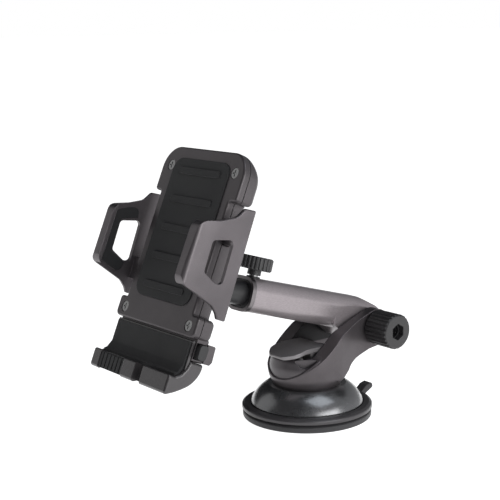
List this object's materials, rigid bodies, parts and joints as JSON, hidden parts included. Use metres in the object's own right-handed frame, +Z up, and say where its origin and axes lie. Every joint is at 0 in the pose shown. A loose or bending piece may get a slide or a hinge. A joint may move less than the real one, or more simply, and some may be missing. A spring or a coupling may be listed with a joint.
{
  "type": "car phone mount",
  "caption": "Suction-base car phone mount: locking lever, telescopic tilting arm, ball joint and a cradle with geared clamp arms and a sliding foot.",
  "frame": {"origin": "centre of the suction pad's flat face", "axes": "+Z up, away from the surface it sticks to; -Y towards the side the phone's screen faces; +X towards the tilt knob"},
  "size_m": [0.077, 0.1531, 0.1407],
  "materials": {
    "gel_rubber": "matte",
    "plate_plastic": "satin",
    "dome_gloss": "polished",
    "core_plastic": "satin",
    "fork_plastic": "satin",
    "stud_steel": "machined",
    "spring_steel": "drawn wire",
    "pin_steel": "machined",
    "lever_plastic": "satin",
    "bolt_steel": "black oxide",
    "washer_rubber": "matte",
    "knob_plastic": "fine texture",
    "nut_steel": "black oxide",
    "tube_satin": "satin metallic",
    "collar_metal": "satin",
    "bezel_plastic": "matte",
    "screw_steel": "plated",
    "rod_plastic": "satin",
    "ball_plastic": "smooth",
    "seat_plastic": "matte",
    "case_plastic": "satin",
    "pad_rubber": "matte",
    "arm_plastic": "satin",
    "arm_rubber": "matte",
    "gear_plastic": "matte",
    "button_plastic": "satin",
    "foot_plastic": "satin",
    "foot_rubber": "matte"
  },
  "bodies": {
    "base": {"suction_pad": "gel_rubber", "base_plate": "plate_plastic", "base_dome": "dome_gloss", "core_housing": "core_plastic", "fork": "fork_plastic", "pivot_bolt": "bolt_steel", "pivot_washers": "washer_rubber", "stud_spring": "spring_steel"},
    "stud": {"suction_stud": "stud_steel", "lever_pin": "pin_steel"},
    "lever": {"suction_lever": "lever_plastic"},
    "pivot_knob": {"pivot_knob": "knob_plastic", "pivot_nut": "nut_steel"},
    "arm": {"arm_tube": "tube_satin", "tube_collar": "collar_metal", "tube_bezel": "bezel_plastic", "lock_boss": "bezel_plastic"},
    "lock_knob": {"lock_knob": "knob_plastic", "lock_screw": "screw_steel"},
    "inner_rod": {"inner_rod": "rod_plastic", "ball_stud": "ball_plastic"},
    "ball_seat_front": {"ball_seat_front": "seat_plastic"},
    "ball_seat_ring": {"ball_seat_ring": "seat_plastic"},
    "cradle": {"ball_socket": "case_plastic", "rear_cover": "case_plastic", "front_cover": "case_plastic", "front_pad": "pad_rubber", "case_screws": "screw_steel", "gear_spring": "spring_steel", "right_button_spring": "spring_steel", "left_button_spring": "spring_steel"},
    "lock_nut": {"lock_nut": "knob_plastic"},
    "right_arm": {"right_arm": "arm_plastic", "right_arm_pad": "arm_rubber"},
    "left_arm": {"left_arm": "arm_plastic", "left_arm_pad": "arm_rubber"},
    "gear": {"gear": "gear_plastic"},
    "right_button": {"right_button": "button_plastic"},
    "left_button": {"left_button": "button_plastic"},
    "foot": {"foot": "foot_plastic", "foot_liner": "foot_rubber", "foot_pad": "foot_rubber"}
  },
  "joints": [
    {"name": "lever_flip", "type": "hinge", "parent": "stud", "child": "lever", "pos_m": [0, 0, 0.0274], "axis": [-1, 0, 0], "range_deg": [0, 35]},
    {"name": "stud_lift", "type": "slide", "parent": "base", "child": "stud", "axis": [0, 0, 1], "range_m": [-0.0013, 0], "deforming": ["stud_spring"]},
    {"name": "arm_tilt", "type": "hinge", "parent": "base", "child": "arm", "pos_m": [0, 0.0325, 0.0437], "axis": [-1, 0, 0], "range_deg": [-3, 78]},
    {"name": "pivot_knob_turn", "type": "hinge", "parent": "base", "child": "pivot_knob", "pos_m": [0, 0.0325, 0.0437], "axis": [1, 0, 0], "range_deg": [-180, 180]},
    {"name": "lock_knob_turn", "type": "hinge", "parent": "arm", "child": "lock_knob", "pos_m": [0, -0.03205, 0.08226], "axis": [0, 0.2924, 0.9563], "range_deg": [-180, 180]},
    {"name": "arm_extend", "type": "slide", "parent": "arm", "child": "inner_rod", "axis": [0, -0.9563, 0.2924], "range_m": [0, 0.035]},
    {"name": "ball_tilt", "type": "hinge", "parent": "inner_rod", "child": "ball_seat_front", "pos_m": [0, -0.06363, 0.07644], "axis": [1, 0, 0], "range_deg": [-18, 18]},
    {"name": "ball_pan", "type": "hinge", "parent": "ball_seat_front", "child": "ball_seat_ring", "pos_m": [0, -0.06363, 0.07644], "axis": [0, 0.3987, 0.9171], "range_deg": [-18, 18]},
    {"name": "cradle_spin", "type": "hinge", "parent": "ball_seat_ring", "child": "cradle", "pos_m": [0, -0.06363, 0.07644], "axis": [0, -0.9171, 0.3987], "continuous": true},
    {"name": "lock_nut_turn", "type": "hinge", "parent": "cradle", "child": "lock_nut", "pos_m": [0, -0.06363, 0.07644], "axis": [0, -0.9171, 0.3987], "range_deg": [-180, 180]},
    {"name": "right_clamp", "type": "slide", "parent": "cradle", "child": "right_arm", "axis": [1, 0, 0], "range_m": [-0.009, 0.011]},
    {"name": "left_clamp", "type": "slide", "parent": "cradle", "child": "left_arm", "axis": [1, 0, 0], "range_m": [-0.011, 0.009]},
    {"name": "gear_turn", "type": "hinge", "parent": "cradle", "child": "gear", "pos_m": [0, -0.07334, 0.0937], "axis": [0, -0.9171, 0.3987], "range_deg": [-106, 87]},
    {"name": "right_button_press", "type": "slide", "parent": "cradle", "child": "right_button", "axis": [-1, 0, 0], "range_m": [0, 0.0022], "stiffness_N_per_m": 300, "springref_m": -0.002},
    {"name": "left_button_press", "type": "slide", "parent": "cradle", "child": "left_button", "axis": [1, 0, 0], "range_m": [0, 0.0022], "stiffness_N_per_m": 300, "springref_m": -0.002},
    {"name": "foot_extend", "type": "slide", "parent": "cradle", "child": "foot", "axis": [0, -0.3987, -0.9171], "range_m": [0, 0.01]}
  ],
  "couplings": [
    {"joint": "stud_lift", "follows": "lever_flip", "m_per_rad": -0.002},
    {"joint": "left_clamp", "follows": "right_clamp", "ratio": -1},
    {"joint": "gear_turn", "follows": "right_clamp", "rad_per_m": -166.67}
  ]
}
